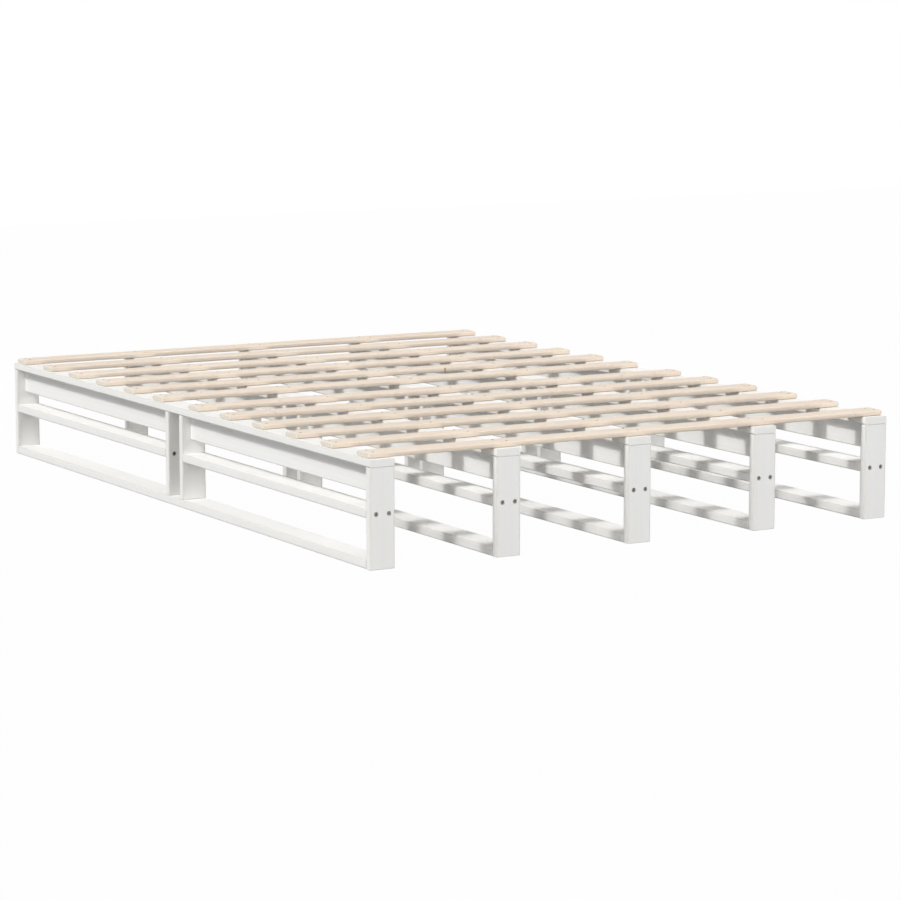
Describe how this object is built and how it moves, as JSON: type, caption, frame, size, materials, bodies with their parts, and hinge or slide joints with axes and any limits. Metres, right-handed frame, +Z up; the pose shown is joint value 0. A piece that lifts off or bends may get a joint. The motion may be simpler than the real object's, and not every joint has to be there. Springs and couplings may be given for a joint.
{
  "type": "slatted bed base",
  "caption": "Low slatted bed base: painted pine long frames with posts and rails on the floor, bare pine slats across them to carry a mattress.",
  "frame": {"origin": "on the floor under the middle of the bed", "axes": "+X across the bed, +Y along the bed towards its head end, +Z up"},
  "size_m": [1.4, 2, 0.2582],
  "materials": {
    "paint": "solid pine under opaque white satin paint, the grain just showing",
    "pine": "bare planed pine, pale, straight grain with a few small knots, matt"
  },
  "bodies": {
    "root": {"top_rail_1": "paint", "bottom_rail_1": "paint", "front_post_1": "paint", "front_mid_post_1": "paint", "rear_mid_post_1": "paint", "rear_post_1": "paint", "front_middle_rail_1": "paint", "rear_middle_rail_1": "paint", "top_rail_2": "paint", "bottom_rail_2": "paint", "front_post_2": "paint", "front_mid_post_2": "paint", "rear_mid_post_2": "paint", "rear_post_2": "paint", "front_middle_rail_2": "paint", "rear_middle_rail_2": "paint", "top_rail_3": "paint", "bottom_rail_3": "paint", "front_post_3": "paint", "front_mid_post_3": "paint", "rear_mid_post_3": "paint", "rear_post_3": "paint", "front_middle_rail_3": "paint", "rear_middle_rail_3": "paint", "top_rail_4": "paint", "bottom_rail_4": "paint", "front_post_4": "paint", "front_mid_post_4": "paint", "rear_mid_post_4": "paint", "rear_post_4": "paint", "front_middle_rail_4": "paint", "rear_middle_rail_4": "paint", "top_rail_5": "paint", "bottom_rail_5": "paint", "front_post_5": "paint", "front_mid_post_5": "paint", "rear_mid_post_5": "paint", "rear_post_5": "paint", "front_middle_rail_5": "paint", "rear_middle_rail_5": "paint", "slat_01": "pine", "slat_02": "pine", "slat_03": "pine", "slat_04": "pine", "slat_05": "pine", "slat_06": "pine", "slat_07": "pine", "slat_08": "pine", "slat_09": "pine", "slat_10": "pine", "slat_11": "pine", "slat_12": "pine"}
  },
  "joints": []
}
